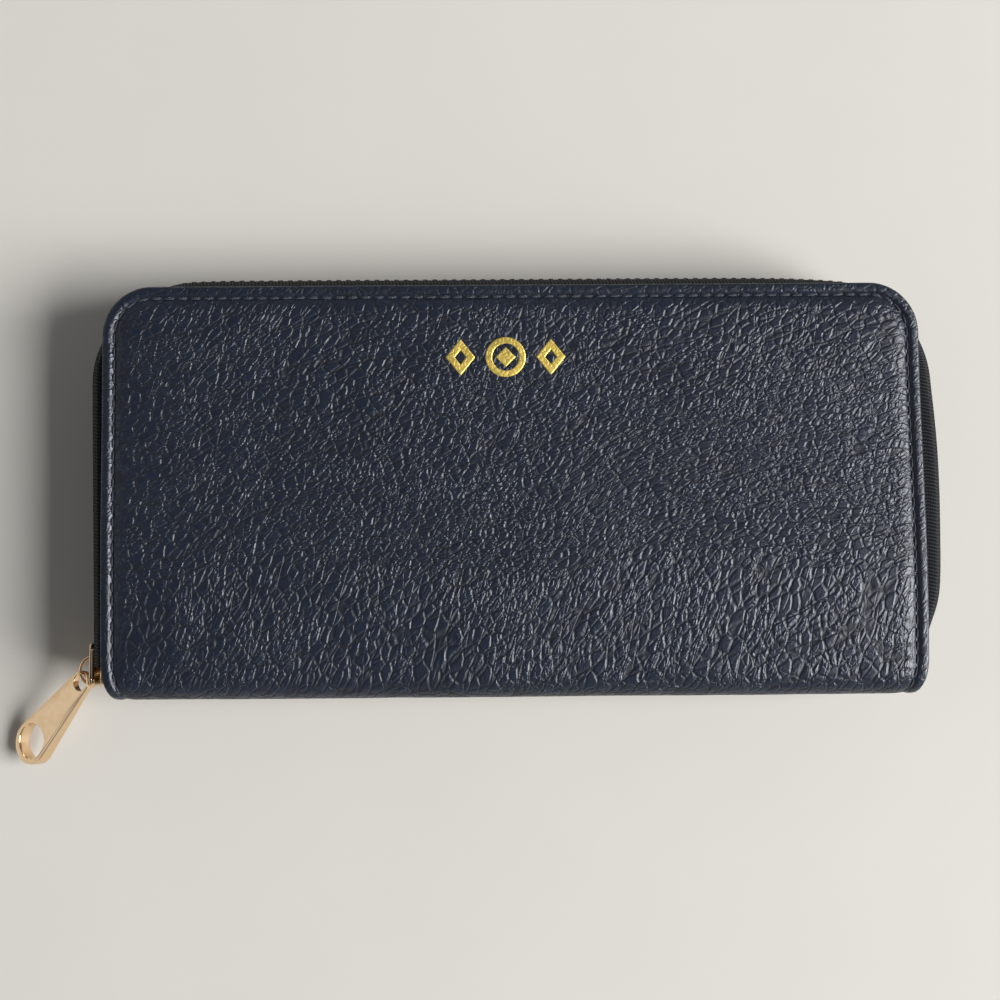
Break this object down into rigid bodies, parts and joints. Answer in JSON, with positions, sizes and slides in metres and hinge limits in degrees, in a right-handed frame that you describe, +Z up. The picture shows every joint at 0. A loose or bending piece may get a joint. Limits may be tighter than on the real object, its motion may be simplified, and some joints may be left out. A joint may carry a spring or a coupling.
{
  "type": "zip around wallet",
  "caption": "Long zip around wallet in pebbled leather: two padded covers joined by a spine, a zip round three sides with a metal pull, card slots and a zipped coin pocket inside.",
  "frame": {"origin": "middle of the back cover's outer face, on which the closed wallet lies", "axes": "+X along the wallet's length, the zip pull being at the -X end; +Y from the spine towards the long side that opens; +Z up through the closed covers"},
  "size_m": [0.2217, 0.1156, 0.024],
  "materials": {
    "pebbled_leather": "navy pebbled grain, semi-gloss",
    "smooth_leather": "navy smooth, satin",
    "twill_lining": "fine dark twill",
    "paperboard": "grey-brown paperboard, matte",
    "zip_tape": "black woven herringbone",
    "zip_teeth": "black moulded",
    "gold_metal": "light gold plate, polished"
  },
  "bodies": {
    "back_half": {"back_cover_leather": "pebbled_leather", "back_board": "paperboard", "back_lining": "twill_lining", "back_zip_tape": "zip_tape", "back_zip_teeth": "zip_teeth", "back_top_stop": "gold_metal", "back_card_panel": "smooth_leather", "back_card_slot_1": "smooth_leather", "back_card_slot_2": "smooth_leather", "back_card_slot_3": "smooth_leather", "back_card_slot_4": "smooth_leather", "back_gusset_left": "smooth_leather", "back_gusset_right": "smooth_leather"},
    "spine": {"spine_leather": "pebbled_leather", "spine_stiffener": "paperboard", "spine_lining": "twill_lining", "zip_end_tab_left": "zip_tape", "zip_end_tab_right": "zip_tape", "zip_bottom_stop": "zip_teeth", "coin_wall_back": "twill_lining", "coin_wall_front": "twill_lining", "coin_tape_back": "zip_tape", "coin_tape_front": "zip_tape", "coin_teeth_back": "zip_teeth", "coin_teeth_front": "zip_teeth", "coin_side_left": "twill_lining", "coin_side_right": "twill_lining", "coin_floor": "twill_lining", "coin_anchor_strip": "twill_lining"},
    "front_half": {"front_cover_leather": "pebbled_leather", "front_board": "paperboard", "front_lining": "twill_lining", "front_zip_tape": "zip_tape", "front_zip_teeth": "zip_teeth", "front_top_stop": "gold_metal", "front_card_panel": "smooth_leather", "front_card_slot_1": "smooth_leather", "front_card_slot_2": "smooth_leather", "front_card_slot_3": "smooth_leather", "front_card_slot_4": "smooth_leather", "front_gusset_left": "smooth_leather", "front_gusset_right": "smooth_leather"},
    "zip_slider": {"slider_body": "gold_metal"},
    "zip_pull": {"pull_tab": "gold_metal"},
    "coin_zip_slider": {"coin_slider_body": "gold_metal"},
    "coin_zip_pull": {"coin_pull": "gold_metal"}
  },
  "joints": [
    {"name": "spine_fold", "type": "hinge", "parent": "back_half", "child": "spine", "pos_m": [0, -0.047, 0.00485], "axis": [1, 0, 0], "range_deg": [0, 25], "deforming": ["back_gusset_left", "back_gusset_right"]},
    {"name": "cover_opening", "type": "hinge", "parent": "spine", "child": "front_half", "pos_m": [0, -0.047, 0.01915], "axis": [1, 0, 0], "range_deg": [0, 25], "deforming": ["front_gusset_left", "front_gusset_right"]},
    {"name": "zip_travel", "type": "slide", "parent": "back_half", "child": "zip_slider", "axis": [0, 1, 0], "range_m": [0, 0.06]},
    {"name": "pull_swing", "type": "hinge", "parent": "zip_slider", "child": "zip_pull", "pos_m": [-0.10305, -0.0453, 0.01255], "axis": [-0.987, 0.156, 0.038], "range_deg": [0, 110]},
    {"name": "coin_zip_travel", "type": "slide", "parent": "spine", "child": "coin_zip_slider", "axis": [1, 0, 0], "range_m": [0, 0.14]},
    {"name": "coin_pull_swing", "type": "hinge", "parent": "coin_zip_slider", "child": "coin_zip_pull", "pos_m": [-0.074, 0.0347, 0.012], "axis": [0, 0, 1], "range_deg": [0, 90]}
  ],
  "couplings": [
    {"joint": "cover_opening", "follows": "spine_fold", "ratio": 1}
  ]
}
